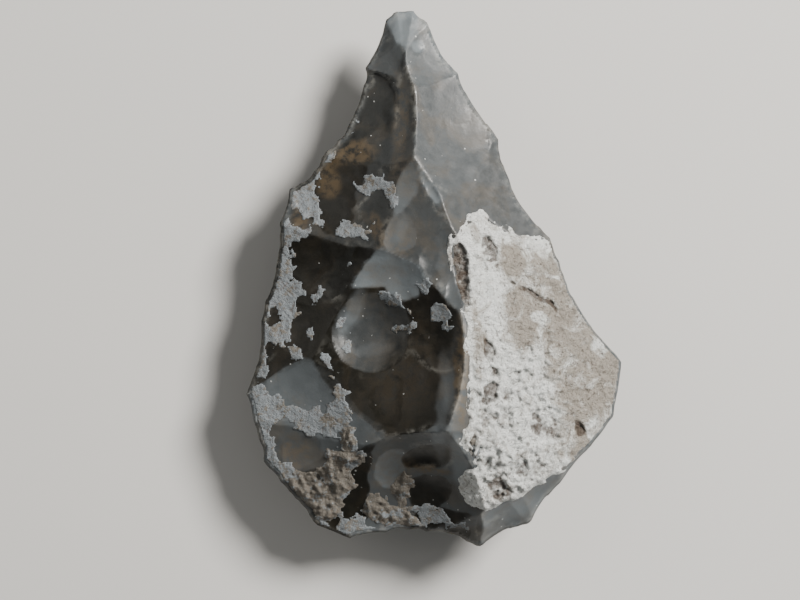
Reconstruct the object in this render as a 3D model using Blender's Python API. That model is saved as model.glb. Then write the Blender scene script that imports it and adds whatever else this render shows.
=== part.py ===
"""Hand axe knapped from a flint nodule, lying on its flatter face.

The stone is modelled the way it was made. A rounded nodule is trimmed to a rough pointed blank,
and flakes are then struck off both faces. Each flake leaves a scar, a shallow hollow bowl, and
neighbouring scars share corners, so sharp ridges run from corner to corner and the two faces meet
in a knife edge. The rounded cortex of the nodule stays on the right side of the upper face.

Metres, +Z up, tip towards +Y. The origin is under the middle of the stone, at the resting face.
"""
import bmesh
import bpy
import math
from mathutils import Matrix, Vector

# Overall sizes
LENGTH = 0.140
WIDTH = 0.0985
THICKNESS = 0.043

# Height of the knife edge above the resting face, as a share of the thickness
EDGE_HEIGHT = 0.419

# Rough blank: how far it stands out beyond the finished edge, and its height above the edge
BLANK_MARGIN = 1.06
BLANK_TOP = 0.75

# Nodule: an egg-shaped lump, centre and radii as shares of the length, turn in degrees
NODULE_CENTRE = (-0.166, 0.286, -0.207)
NODULE_RADII = (0.786, 0.921, 0.318)
NODULE_TURN = (2.3, 33.2, 45.8)
NODULE_SEGMENTS = 144

# Longest side wanted on the facets of a bowl, as a share of the length and of its own radius,
# and the side of the coarsest ball, of twenty facets, as a share of its radius
BOWL_STEP = 0.038
BOWL_TURN = 0.14
COARSE_SIDE = 1.107

# Least radius of a bowl for one of the circle through its three corners
BOWL_MARGIN = 1.02

# Corners of the scars: shares of the width across, of the length towards the tip, and of the
# thickness above the plane of the edge
EDGE_CORNERS = {
    "tip_left": (-0.129, 0.482, 0.000),
    "tip_top_left": (-0.107, 0.497, 0.000),
    "tip_top_right": (-0.056, 0.499, 0.000),
    "tip_right": (-0.018, 0.475, 0.000),
    "right_1": (0.060, 0.381, 0.000),
    "right_2": (0.126, 0.298, 0.000),
    "right_3": (0.174, 0.256, 0.000),
    "right_4": (0.248, 0.116, 0.081),
    "right_5": (0.311, 0.064, 0.105),
    "right_6": (0.338, -0.024, 0.105),
    "right_7": (0.414, -0.093, 0.081),
    "right_8": (0.500, -0.149, -0.030),
    "right_9": (0.478, -0.256, 0.012),
    "right_10": (0.417, -0.312, 0.093),
    "right_11": (0.333, -0.381, 0.116),
    "right_12": (0.259, -0.456, 0.047),
    "base_1": (0.165, -0.484, 0.047),
    "base_2": (0.076, -0.500, 0.023),
    "base_3": (-0.012, -0.476, 0.047),
    "base_4": (-0.131, -0.476, 0.000),
    "base_5": (-0.238, -0.490, -0.012),
    "base_6": (-0.330, -0.456, 0.000),
    "left_1": (-0.414, -0.382, 0.000),
    "left_2": (-0.476, -0.275, 0.000),
    "left_3": (-0.499, -0.214, 0.000),
    "left_4": (-0.458, -0.079, 0.000),
    "left_5": (-0.410, 0.070, 0.023),
    "left_6": (-0.386, 0.164, 0.000),
    "left_7": (-0.290, 0.229, 0.023),
    "left_8": (-0.229, 0.290, 0.000),
    "left_9": (-0.192, 0.384, 0.000),
}
RIDGE_CORNERS = {
    "tip_ridge": (-0.086, 0.411, 0.140),
    "upper_ridge": (-0.057, 0.275, 0.263),
    "fork": (-0.060, 0.219, 0.333),
    "brow": (0.047, 0.079, 0.430),
    "peak": (-0.055, 0.034, 0.419),
    "shoulder": (-0.150, 0.040, 0.349),
    "left_ridge": (-0.330, -0.126, 0.163),
    "right_ridge": (0.055, -0.070, 0.535),
    "crest": (0.094, -0.154, 0.586),
    "crest_end": (0.078, -0.284, 0.535),
    "shell_left": (-0.243, -0.057, 0.191),
    "shell_right": (-0.083, -0.126, 0.279),
    "shell_foot": (-0.157, -0.165, 0.219),
    "low_left": (-0.185, -0.312, 0.291),
    "low_middle": (-0.091, -0.316, 0.316),
    "low_right": (0.034, -0.354, 0.372),
    "crevice": (0.062, -0.374, 0.407),
    "bevel_1": (0.121, -0.430, 0.286),
    "bevel_2": (0.226, -0.406, 0.256),
    "bevel_3": (0.333, -0.359, 0.186),
}
BELLY_CORNERS = {
    "belly_north": (-0.025, 0.029, -0.419),
    "belly_north_east": (0.081, -0.005, -0.419),
    "belly_east": (0.142, -0.089, -0.419),
    "belly_south_east": (0.116, -0.182, -0.419),
    "belly_south": (0.014, -0.229, -0.419),
    "belly_south_west": (-0.105, -0.201, -0.419),
    "belly_west": (-0.165, -0.107, -0.419),
    "belly_north_west": (-0.123, -0.014, -0.419),
    "keel_low": (-0.044, 0.116, -0.372),
    "keel": (-0.060, 0.219, -0.279),
    "keel_tip": (-0.078, 0.402, -0.116),
}

# Scars of the upper face: three corners the bowl passes through, and its radius as a share of the
# length
UPPER_SCARS = {
    "tip_a": ("tip_left", "tip_top_left", "tip_ridge", 0.43),
    "tip_b": ("tip_top_left", "tip_top_right", "tip_ridge", 0.43),
    "tip_e": ("tip_top_right", "tip_right", "tip_ridge", 0.43),
    "tip_c": ("tip_right", "right_1", "tip_ridge", 0.29),
    "tip_d": ("tip_left", "left_9", "tip_ridge", 0.29),
    "right_upper": ("right_1", "right_3", "upper_ridge", 0.64),
    "right_lower": ("right_3", "right_4", "brow", 1.14),
    "left_upper": ("tip_ridge", "fork", "left_8", 0.33),
    "left_middle": ("fork", "left_6", "shoulder", 0.50),
    "top_of_peak": ("fork", "brow", "shoulder", 0.57),
    "beside_peak": ("peak", "brow", "right_ridge", 0.157),
    "left_lower": ("shoulder", "left_5", "left_4", 0.50),
    "left_band": ("left_ridge", "left_4", "left_3", 0.64),
    "centre": ("peak", "crest", "left_ridge", 0.43),
    "shell": ("shell_left", "shell_right", "shell_foot", 0.136),
    "low_left_a": ("left_3", "left_2", "low_left", 0.64),
    "low_left_b": ("left_2", "left_1", "low_left", 0.64),
    "low_left_c": ("left_1", "base_6", "low_left", 0.64),
    "base_left": ("low_left", "base_6", "base_5", 0.43),
    "base_middle": ("low_middle", "base_5", "base_4", 0.40),
    "base_right": ("low_right", "bevel_1", "base_3", 0.29),
    "base_corner": ("bevel_1", "base_2", "base_3", 0.36),
    "cortex_foot": ("crest_end", "crevice", "bevel_2", 1.43),
    "bevel_a": ("bevel_1", "base_1", "right_12", 0.36),
    "bevel_b": ("right_12", "bevel_3", "right_11", 0.36),
    "bevel_c": ("right_11", "right_10", "bevel_3", 0.36),
}
# Flakes struck off the lower face: two corners of the edge they start from, the belly corner they
# run towards, and the radius of the bowl as a share of the length. Each stops at a knee part of
# the way in, so the face swells like a lens
LOWER_SCARS = {
    "under_tip_a": ("tip_left", "tip_top_left", "keel_tip", 0.43),
    "under_tip_b": ("tip_top_left", "tip_top_right", "keel_tip", 0.43),
    "under_tip_e": ("tip_top_right", "tip_right", "keel_tip", 0.43),
    "under_tip_c": ("tip_left", "left_9", "keel_tip", 0.43),
    "under_tip_d": ("tip_right", "right_1", "keel_tip", 0.43),
    "under_right_a": ("right_1", "right_2", "keel", 0.57),
    "under_right_b": ("right_2", "right_3", "keel_low", 0.57),
    "under_right_c": ("right_3", "right_4", "belly_north", 0.30),
    "under_right_d": ("right_5", "right_7", "belly_north_east", 0.29),
    "under_right_e": ("right_7", "right_8", "belly_east", 0.26),
    "under_right_f": ("right_8", "right_9", "belly_south_east", 0.57),
    "under_right_g": ("right_10", "right_11", "belly_south_east", 0.36),
    "under_base_a": ("right_12", "base_2", "belly_south", 0.57),
    "under_base_b": ("base_3", "base_4", "belly_south", 0.32),
    "under_base_c": ("base_4", "base_5", "belly_south_west", 0.57),
    "under_left_a": ("base_6", "left_1", "belly_south_west", 0.57),
    "under_left_b": ("left_2", "left_3", "belly_south_west", 0.57),
    "under_left_c": ("left_3", "left_4", "belly_west", 0.64),
    "under_left_d": ("left_5", "left_6", "belly_north_west", 0.57),
    "under_left_e": ("left_7", "left_8", "keel_low", 0.32),
    "under_left_f": ("left_8", "left_9", "keel", 0.40),
}
KNEE_REACH = 0.40
KNEE_DEPTH = 0.56

# Earlier, longer flakes of the lower face: two corners of the edge, the belly corner they end at,
# and the radius. They run between the knees and the belly
BELLY_SCARS = {
    "belly_right_a": ("right_1", "right_3", "keel", 0.86),
    "belly_right_b": ("right_3", "right_5", "belly_north", 0.86),
    "belly_right_c": ("right_5", "right_8", "belly_east", 0.71),
    "belly_right_d": ("right_8", "right_11", "belly_south_east", 0.86),
    "belly_base": ("right_12", "base_4", "belly_south", 0.71),
    "belly_left_a": ("base_5", "left_2", "belly_south_west", 0.71),
    "belly_left_b": ("left_2", "left_5", "belly_west", 0.86),
    "belly_left_c": ("left_5", "left_8", "belly_north_west", 0.86),
    "belly_left_d": ("left_8", "left_9", "keel", 0.86),
}

# Smoky brown-grey flint with a waxy gloss
FLINT_COLOUR = (0.098, 0.086, 0.075, 1.0)
FLINT_ROUGHNESS = 0.45


def corner(name):
    """Place of a named corner, in metres from the middle of the plane of the edge."""
    across, along, up = {**EDGE_CORNERS, **RIDGE_CORNERS, **BELLY_CORNERS}[name]
    return Vector((across * WIDTH, along * LENGTH, up * THICKNESS))


def clear_scene():
    for thing in list(bpy.data.objects):
        bpy.data.objects.remove(thing, do_unlink=True)


def new_collection(name):
    collection = bpy.data.collections.new(name)
    bpy.context.scene.collection.children.link(collection)
    return collection


def add_object(name, bm, collection):
    mesh = bpy.data.meshes.new(name)
    bm.to_mesh(mesh)
    bm.free()
    thing = bpy.data.objects.new(name, mesh)
    collection.objects.link(thing)
    return thing


def make_nodule(collection):
    """The lump of flint as it was found, bigger than the tool on every side but the right."""
    bm = bmesh.new()
    bmesh.ops.create_uvsphere(
        bm, u_segments=NODULE_SEGMENTS, v_segments=NODULE_SEGMENTS // 2, radius=LENGTH
    )
    turn = Matrix.Identity(4)
    for axis, degrees in zip("XYZ", NODULE_TURN):
        turn = Matrix.Rotation(math.radians(degrees), 4, axis) @ turn
    place = Matrix.Translation(Vector(NODULE_CENTRE) * LENGTH)
    bm.transform(place @ turn @ Matrix.Diagonal((*NODULE_RADII, 1.0)))
    return add_object("hand_axe", bm, collection)


def make_blank(collection):
    """A thick plate of the outline of the edge, a little oversize, that trims the nodule."""
    bottom = -EDGE_HEIGHT * THICKNESS
    height = BLANK_TOP * THICKNESS - bottom
    bm = bmesh.new()
    ring = []
    for name in EDGE_CORNERS:
        spot = corner(name) * BLANK_MARGIN
        ring.append(bm.verts.new((spot.x, spot.y, bottom)))
    for first, second in zip(ring, ring[1:] + ring[:1]):
        bm.edges.new((first, second))
    bmesh.ops.contextual_create(bm, geom=bm.verts[:] + bm.edges[:])
    grown = bmesh.ops.extrude_face_region(bm, geom=bm.faces[:])
    moved = [part for part in grown["geom"] if isinstance(part, bmesh.types.BMVert)]
    bmesh.ops.translate(bm, verts=moved, vec=(0.0, 0.0, height))
    bmesh.ops.recalc_face_normals(bm, faces=bm.faces[:])
    return add_object("blank", bm, collection)


def bowl_through(first, second, third, radius, side):
    """Centre and radius of the ball through three points, on the outer side of them.

    Where the points lie too far apart for the radius, the ball grows to reach them.
    """
    normal = (second - first).cross(third - first).normalized()
    if normal.z * side < 0.0:
        normal.negate()
    a = (second - third).length_squared
    b = (third - first).length_squared
    c = (first - second).length_squared
    weights = (a * (b + c - a), b * (c + a - b), c * (a + b - c))
    points = (first, second, third)
    middle = sum((w * p for w, p in zip(weights, points)), Vector()) / sum(weights)
    reach = (first - middle).length
    radius = max(radius, reach * BOWL_MARGIN)
    return middle + normal * math.sqrt(radius ** 2 - reach ** 2), radius


def knee(edge, belly):
    """Point on the lower face part of the way from the edge to the belly, where it bends."""
    spot = edge.lerp(belly, KNEE_REACH)
    spot.z = edge.z + (belly.z - edge.z) * KNEE_DEPTH
    return spot


def lower_scar_points(first, second, belly):
    return first, second, knee((first + second) / 2, belly)


def belly_scar_points(first, second, belly):
    return knee(first, belly), knee(second, belly), belly


def make_scar(name, points, radius, side, collection):
    """The ball that takes one flake off; its near side is the hollow of the scar."""
    centre, radius = bowl_through(*points, radius, side)
    side_wanted = min(BOWL_STEP * LENGTH, BOWL_TURN * radius)
    halvings = max(0, math.ceil(math.log2(radius * COARSE_SIDE / side_wanted)))
    bm = bmesh.new()
    bmesh.ops.create_icosphere(bm, subdivisions=1 + halvings, radius=radius)
    bmesh.ops.translate(bm, verts=bm.verts[:], vec=centre)
    return add_object(name, bm, collection)


def cut(target, cutter, operation):
    cutter.display_type = "WIRE"
    cutter.hide_render = True
    step = target.modifiers.new(cutter.name, "BOOLEAN")
    step.operation = operation
    step.solver = "EXACT"
    step.object = cutter


def flint_material():
    material = bpy.data.materials.new("Flint")
    material.use_nodes = True
    shader = material.node_tree.nodes["Principled BSDF"]
    shader.inputs["Base Color"].default_value = FLINT_COLOUR
    shader.inputs["Roughness"].default_value = FLINT_ROUGHNESS
    return material


def rest_on_origin(stone, cutters):
    """Move the stone and its cutters so the resting face is centred on the origin."""
    shaped = stone.evaluated_get(bpy.context.evaluated_depsgraph_get()).to_mesh()
    spots = [vertex.co for vertex in shaped.vertices]
    low = [min(spot[axis] for spot in spots) for axis in range(3)]
    high = [max(spot[axis] for spot in spots) for axis in range(3)]
    shift = Vector((-(low[0] + high[0]) / 2, -(low[1] + high[1]) / 2, -low[2]))
    for thing in (stone, *cutters):
        thing.data.transform(Matrix.Translation(shift))


def main():
    clear_scene()
    stone_collection = new_collection("Hand axe")
    cutter_collection = new_collection("Struck flakes")
    stone = make_nodule(stone_collection)
    stone.data.materials.append(flint_material())
    blank = make_blank(cutter_collection)
    cut(stone, blank, "INTERSECT")
    cutters = [blank]
    faces = (
        (1, UPPER_SCARS, lambda *points: points),
        (-1, BELLY_SCARS, belly_scar_points),
        (-1, LOWER_SCARS, lower_scar_points),
    )
    for side, scars, points_of in faces:
        for name, (*corners, share) in scars.items():
            points = points_of(*(corner(word) for word in corners))
            cutter = make_scar(name, points, share * LENGTH, side, cutter_collection)
            cut(stone, cutter, "DIFFERENCE")
            cutters.append(cutter)
    rest_on_origin(stone, cutters)


if __name__ == "__main__":
    main()
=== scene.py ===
"""Stone hand axe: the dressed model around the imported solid.

The faces are worked out again from the corners and scars that shape the solid, on a fine even
grid, so every bowl is smooth. Ripples, small edge scars, cortex, lime crust and concretions are
real relief on top of that. Lengths in the tables are millimetres from the middle of the outline,
to the right and towards the tip, and heights are above the plane of the knife edge.
"""
import functools
import math

import bpy
import numpy as np
from bpy.props import FloatProperty, FloatVectorProperty, IntProperty, PointerProperty
from mathutils import Euler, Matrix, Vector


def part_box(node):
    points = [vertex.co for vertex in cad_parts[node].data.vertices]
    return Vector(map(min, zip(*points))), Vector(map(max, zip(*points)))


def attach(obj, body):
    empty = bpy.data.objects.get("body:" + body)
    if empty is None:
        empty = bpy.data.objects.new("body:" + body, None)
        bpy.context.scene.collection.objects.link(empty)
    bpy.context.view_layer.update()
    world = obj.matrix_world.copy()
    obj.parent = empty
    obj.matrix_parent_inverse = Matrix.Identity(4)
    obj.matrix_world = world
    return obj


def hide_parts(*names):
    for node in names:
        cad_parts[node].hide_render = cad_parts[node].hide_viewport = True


bl_info = {
    "name": "Stone hand axe",
    "version": (1, 0, 0),
    "blender": (4, 5, 0),
    "location": "3D View > Sidebar > Hand axe",
    "description": "Builds a knapped flint hand axe with its cortex and crusts",
    "category": "Add Mesh",
}

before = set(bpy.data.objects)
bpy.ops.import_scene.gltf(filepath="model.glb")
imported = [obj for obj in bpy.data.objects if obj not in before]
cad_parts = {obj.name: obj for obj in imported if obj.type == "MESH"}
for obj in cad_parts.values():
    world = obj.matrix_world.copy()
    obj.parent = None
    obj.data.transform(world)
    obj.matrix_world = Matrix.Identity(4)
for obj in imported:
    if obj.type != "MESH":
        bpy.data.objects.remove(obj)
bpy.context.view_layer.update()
LOW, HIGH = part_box("hand_axe")

MM = 0.001

# The stone, in millimetres
LENGTH = 140.0
WIDTH = 98.5
THICKNESS = 43.0
EDGE_HEIGHT = 0.419 * THICKNESS
BLANK_TOP = 0.75 * THICKNESS

# The nodule it is struck from: centre and radii in millimetres, turn in degrees
NODULE_CENTRE = np.array((-0.166, 0.286, -0.207)) * LENGTH
NODULE_RADII = np.array((0.786, 0.921, 0.318)) * LENGTH
NODULE_TURN = (2.3, 33.2, 45.8)

# Corners of the scars: shares of the width across, of the length towards the tip, and of the
# thickness above the plane of the edge
EDGE_CORNERS = {
    "tip_left": (-0.129, 0.482, 0.000),
    "tip_top_left": (-0.107, 0.497, 0.000),
    "tip_top_right": (-0.056, 0.499, 0.000),
    "tip_right": (-0.018, 0.475, 0.000),
    "right_1": (0.060, 0.381, 0.000),
    "right_2": (0.126, 0.298, 0.000),
    "right_3": (0.174, 0.256, 0.000),
    "right_4": (0.248, 0.116, 0.081),
    "right_5": (0.311, 0.064, 0.105),
    "right_6": (0.338, -0.024, 0.105),
    "right_7": (0.414, -0.093, 0.081),
    "right_8": (0.500, -0.149, -0.030),
    "right_9": (0.478, -0.256, 0.012),
    "right_10": (0.417, -0.312, 0.093),
    "right_11": (0.333, -0.381, 0.116),
    "right_12": (0.259, -0.456, 0.047),
    "base_1": (0.165, -0.484, 0.047),
    "base_2": (0.076, -0.500, 0.023),
    "base_3": (-0.012, -0.476, 0.047),
    "base_4": (-0.131, -0.476, 0.000),
    "base_5": (-0.238, -0.490, -0.012),
    "base_6": (-0.330, -0.456, 0.000),
    "left_1": (-0.414, -0.382, 0.000),
    "left_2": (-0.476, -0.275, 0.000),
    "left_3": (-0.499, -0.214, 0.000),
    "left_4": (-0.458, -0.079, 0.000),
    "left_5": (-0.410, 0.070, 0.023),
    "left_6": (-0.386, 0.164, 0.000),
    "left_7": (-0.290, 0.229, 0.023),
    "left_8": (-0.229, 0.290, 0.000),
    "left_9": (-0.192, 0.384, 0.000),
}
RIDGE_CORNERS = {
    "tip_ridge": (-0.086, 0.411, 0.140),
    "upper_ridge": (-0.057, 0.275, 0.263),
    "fork": (-0.060, 0.219, 0.333),
    "brow": (0.047, 0.079, 0.430),
    "peak": (-0.055, 0.034, 0.419),
    "shoulder": (-0.150, 0.040, 0.349),
    "left_ridge": (-0.330, -0.126, 0.163),
    "right_ridge": (0.055, -0.070, 0.535),
    "crest": (0.094, -0.154, 0.586),
    "crest_end": (0.078, -0.284, 0.535),
    "shell_left": (-0.243, -0.057, 0.191),
    "shell_right": (-0.083, -0.126, 0.279),
    "shell_foot": (-0.157, -0.165, 0.219),
    "low_left": (-0.185, -0.312, 0.291),
    "low_middle": (-0.091, -0.316, 0.316),
    "low_right": (0.034, -0.354, 0.372),
    "crevice": (0.062, -0.374, 0.407),
    "bevel_1": (0.121, -0.430, 0.286),
    "bevel_2": (0.226, -0.406, 0.256),
    "bevel_3": (0.333, -0.359, 0.186),
}
BELLY_CORNERS = {
    "belly_north": (-0.025, 0.029, -0.419),
    "belly_north_east": (0.081, -0.005, -0.419),
    "belly_east": (0.142, -0.089, -0.419),
    "belly_south_east": (0.116, -0.182, -0.419),
    "belly_south": (0.014, -0.229, -0.419),
    "belly_south_west": (-0.105, -0.201, -0.419),
    "belly_west": (-0.165, -0.107, -0.419),
    "belly_north_west": (-0.123, -0.014, -0.419),
    "keel_low": (-0.044, 0.116, -0.372),
    "keel": (-0.060, 0.219, -0.279),
    "keel_tip": (-0.078, 0.402, -0.116),
}

# Scars of the upper face: three corners the bowl passes through, and its radius as a share of the
# length
UPPER_SCARS = {
    "tip_a": ("tip_left", "tip_top_left", "tip_ridge", 0.43),
    "tip_b": ("tip_top_left", "tip_top_right", "tip_ridge", 0.43),
    "tip_e": ("tip_top_right", "tip_right", "tip_ridge", 0.43),
    "tip_c": ("tip_right", "right_1", "tip_ridge", 0.29),
    "tip_d": ("tip_left", "left_9", "tip_ridge", 0.29),
    "right_upper": ("right_1", "right_3", "upper_ridge", 0.64),
    "right_lower": ("right_3", "right_4", "brow", 1.14),
    "left_upper": ("tip_ridge", "fork", "left_8", 0.33),
    "left_middle": ("fork", "left_6", "shoulder", 0.50),
    "top_of_peak": ("fork", "brow", "shoulder", 0.57),
    "beside_peak": ("peak", "brow", "right_ridge", 0.157),
    "left_lower": ("shoulder", "left_5", "left_4", 0.50),
    "left_band": ("left_ridge", "left_4", "left_3", 0.64),
    "centre": ("peak", "crest", "left_ridge", 0.43),
    "shell": ("shell_left", "shell_right", "shell_foot", 0.136),
    "low_left_a": ("left_3", "left_2", "low_left", 0.64),
    "low_left_b": ("left_2", "left_1", "low_left", 0.64),
    "low_left_c": ("left_1", "base_6", "low_left", 0.64),
    "base_left": ("low_left", "base_6", "base_5", 0.43),
    "base_middle": ("low_middle", "base_5", "base_4", 0.40),
    "base_right": ("low_right", "bevel_1", "base_3", 0.29),
    "base_corner": ("bevel_1", "base_2", "base_3", 0.36),
    "cortex_foot": ("crest_end", "crevice", "bevel_2", 1.43),
    "bevel_a": ("bevel_1", "base_1", "right_12", 0.36),
    "bevel_b": ("right_12", "bevel_3", "right_11", 0.36),
    "bevel_c": ("right_11", "right_10", "bevel_3", 0.36),
}
# Flakes struck off the lower face: two corners of the edge they start from, the belly corner they
# run towards, and the radius of the bowl as a share of the length. Each stops at a knee part of
# the way in, so the face swells like a lens
LOWER_SCARS = {
    "under_tip_a": ("tip_left", "tip_top_left", "keel_tip", 0.43),
    "under_tip_b": ("tip_top_left", "tip_top_right", "keel_tip", 0.43),
    "under_tip_e": ("tip_top_right", "tip_right", "keel_tip", 0.43),
    "under_tip_c": ("tip_left", "left_9", "keel_tip", 0.43),
    "under_tip_d": ("tip_right", "right_1", "keel_tip", 0.43),
    "under_right_a": ("right_1", "right_2", "keel", 0.57),
    "under_right_b": ("right_2", "right_3", "keel_low", 0.57),
    "under_right_c": ("right_3", "right_4", "belly_north", 0.30),
    "under_right_d": ("right_5", "right_7", "belly_north_east", 0.29),
    "under_right_e": ("right_7", "right_8", "belly_east", 0.26),
    "under_right_f": ("right_8", "right_9", "belly_south_east", 0.57),
    "under_right_g": ("right_10", "right_11", "belly_south_east", 0.36),
    "under_base_a": ("right_12", "base_2", "belly_south", 0.57),
    "under_base_b": ("base_3", "base_4", "belly_south", 0.32),
    "under_base_c": ("base_4", "base_5", "belly_south_west", 0.57),
    "under_left_a": ("base_6", "left_1", "belly_south_west", 0.57),
    "under_left_b": ("left_2", "left_3", "belly_south_west", 0.57),
    "under_left_c": ("left_3", "left_4", "belly_west", 0.64),
    "under_left_d": ("left_5", "left_6", "belly_north_west", 0.57),
    "under_left_e": ("left_7", "left_8", "keel_low", 0.32),
    "under_left_f": ("left_8", "left_9", "keel", 0.40),
}
KNEE_REACH = 0.40
KNEE_DEPTH = 0.56

# Earlier, longer flakes of the lower face: two corners of the edge, the belly corner they end at,
# and the radius. They run between the knees and the belly
BELLY_SCARS = {
    "belly_right_a": ("right_1", "right_3", "keel", 0.86),
    "belly_right_b": ("right_3", "right_5", "belly_north", 0.86),
    "belly_right_c": ("right_5", "right_8", "belly_east", 0.71),
    "belly_right_d": ("right_8", "right_11", "belly_south_east", 0.86),
    "belly_base": ("right_12", "base_4", "belly_south", 0.71),
    "belly_left_a": ("base_5", "left_2", "belly_south_west", 0.71),
    "belly_left_b": ("left_2", "left_5", "belly_west", 0.86),
    "belly_left_c": ("left_5", "left_8", "belly_north_west", 0.86),
    "belly_left_d": ("left_8", "left_9", "keel", 0.86),
}

# Border of the cortex, clockwise from its upper point: right and up from the middle
CORTEX_BORDER = {
    "apex": (11.4, 17.4),
    "apex_right": (15.0, 14.5),
    "top_left": (19.2, 11.9),
    "top_middle": (22.3, 10.8),
    "top_right": (26.5, 10.3),
    "edge_top": (32.6, 11.0),
    "edge_1": (35.5, 6.0),
    "edge_2": (37.5, -2.4),
    "edge_3": (41.3, -8.4),
    "edge_4": (46.0, -11.4),
    "corner": (53.0, -20.4),
    "edge_5": (51.5, -28.6),
    "edge_6": (49.5, -36.2),
    "edge_7": (43.2, -40.6),
    "edge_8": (39.3, -43.7),
    "low_right_1": (36.2, -47.1),
    "low_right_2": (32.8, -50.3),
    "low_1": (27.8, -53.4),
    "low_2": (22.3, -56.8),
    "low_3": (17.1, -58.9),
    "low_4": (12.9, -59.9),
    "low_left_1": (9.3, -58.4),
    "low_left_2": (7.2, -56.0),
    "crevice_low": (6.1, -52.4),
    "crevice": (10.3, -48.2),
    "crevice_high": (6.1, -42.4),
    "left_1": (7.7, -37.2),
    "left_2": (8.0, -21.5),
    "left_3": (7.4, -11.6),
    "left_4": (5.9, -5.4),
    "left_5": (4.6, -1.4),
    "left_6": (3.5, 4.0),
    "left_7": (3.8, 9.8),
    "apex_left": (7.2, 12.9),
}
# Streaks of the crusts: both ends, and the half width
LIME_STREAKS = {
    "edge_1": ((-22.1, 41.1), (-29.4, 31.2), 1.6),
    "edge_2": ((-30.4, 30.2), (-36.7, 23.4), 2.6),
    "edge_3": ((-34.6, 22.3), (-36.2, 11.9), 3.9),
    "edge_4": ((-31.5, 18.9), (-30.7, 14.0), 1.8),
    "edge_5": ((-39.3, 9.8), (-41.4, -3.3), 3.4),
    "edge_6": ((-39.8, -3.8), (-41.9, -14.8), 3.7),
    "edge_7": ((-36.7, -3.3), (-37.7, -8.5), 2.6),
    "edge_8": ((-45.1, -17.6), (-46.4, -28.9), 2.1),
    "edge_9": ((-22.3, 3.0), (-31.0, -5.6), 0.8),
    "fleck_1": ((-19.2, 22.3), (-15.8, 24.4), 2.1),
    "fleck_2": ((-12.7, 23.4), (-11.4, 19.7), 1.3),
    "fleck_3": ((-23.4, 12.1), (-17.4, 11.6), 1.8),
    "fleck_4": ((-24.7, 14.5), (-22.9, 11.4), 1.3),
    "fleck_13": ((-26.0, -13.7), (-23.4, -10.6), 0.8),
    "fleck_5": ((-12.7, -4.6), (-10.1, -6.4), 1.8),
    "fleck_6": ((-2.7, -2.2), (-2.5, -2.7), 1.0),
    "fleck_7": ((-10.1, -13.2), (-5.9, -12.1), 1.6),
    "fleck_8": ((-8.2, -8.0), (-6.9, -9.0), 1.0),
    "fleck_9": ((0.9, -9.0), (3.0, -12.7), 1.8),
    "fleck_10": ((-22.1, -14.8), (-22.6, -17.9), 1.0),
    "fleck_11": ((-28.3, -19.5), (-27.3, -23.6), 1.0),
    "fleck_12": ((-28.1, -26.2), (-26.8, -32.5), 1.3),
    "low_left_1": ((-47.7, -32.0), (-35.1, -35.7), 3.9),
    "low_left_2": ((-46.9, -35.1), (-43.5, -46.4), 3.9),
    "low_left_3": ((-25.5, -31.5), (-23.1, -42.4), 3.1),
    "low_left_4": ((-35.1, -36.7), (-25.2, -38.8), 3.7),
    "low_left_6": ((-39.3, -52.4), (-35.1, -59.4), 2.6),
    "low_left_5": ((-42.4, -48.2), (-38.3, -51.3), 2.6),
    "low_left_7": ((-29.1, -25.2), (-25.7, -31.5), 0.8),
    "base_1": ((-22.1, -60.7), (-21.3, -66.0), 4.7),
    "base_2": ((-17.9, -66.0), (-3.8, -65.4), 2.1),
    "base_3": ((-8.0, -61.2), (1.4, -62.6), 2.4),
    "base_4": ((0.9, -62.3), (8.2, -66.0), 1.6),
    "base_5": ((-30.4, -61.2), (-25.7, -65.4), 2.6),
    "edge_10": ((-32.8, -14.0), (-32.3, -15.3), 0.7),
    "edge_11": ((-36.7, -18.9), (-35.9, -20.5), 1.0),
}
CONCRETION_STREAKS = {
    "lump_1": ((-34.6, -54.5), (-28.3, -61.2), 3.7),
    "lump_2": ((-26.2, -48.7), (-24.7, -56.0), 3.9),
    "lump_3": ((-23.4, -40.4), (-21.5, -44.0), 2.1),
    "lump_5": ((-16.3, -60.2), (-5.9, -63.3), 3.1),
    "lump_6": ((8.8, -42.4), (10.8, -46.4), 1.0),
    "lump_7": ((-22.1, -48.2), (-18.9, -46.6), 2.4),
    "lump_8": ((-8.0, -50.3), (-9.5, -60.2), 1.6),
}
# Bare places in the crusts, in the same form
CRUST_WINDOWS = {
    "left_facet": ((-36.7, -27.6), (-31.0, -29.4), 4.4),
    "window": ((-37.2, -45.1), (-33.0, -47.1), 4.4),
    "margin_high": ((-35.7, 14.8), (-34.6, 14.2), 1.3),
    "margin_low": ((-41.9, -9.8), (-41.7, -10.6), 1.3),
    "dark_slope": ((-15.8, -48.2), (-22.6, -60.2), 1.6),
    "olive": ((1.4, -68.6), (9.3, -68.8), 3.1),
}
# Soft patches on the flint, paler or stained, and one painted reflection: middle right and up, half
# widths, turn in degrees, and strength
TONE_PATCHES = {
    "tip_rim": (-9.5, 64.1, 1.0, 5.2, 0, 0.3),
    "brown_band": (-9.0, 43.2, 2.4, 12.5, -4, 0.16),
    # Painted reflection: a pale, bluish sheen on the hollow of the shell scar
    "shell_painted_sheen": (-21.5, -9.0, 2.1, 7.8, -25, 0.4),
    "shell_foot": (-15.3, -18.9, 5.7, 1.6, 10, 0.12),
    "ridge_foot": (5.9, -24.2, 2.9, 17.2, 0, 0.2),
    "blue_streak": (1.4, -37.2, 2.1, 12.5, -4, 0.34),
    "striated": (-8.5, 11.9, 1.8, 4.7, -12, 0.18),
    "skirt_rim": (-13.2, 4.0, 6.8, 1.3, -8, 0.15),
    "low_right_glow": (17.1, -61.2, 12.0, 3.1, 18, 0.12),
    "deep": (-8.0, -31.0, 6.3, 13.1, 4, -0.2),
    "pale_strip": (5.9, -48.2, 2.4, 9.4, 8, 0.35),
    "blue_slope": (3.0, -26.8, 1.8, 8.9, 4, 0.3),
}
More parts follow.
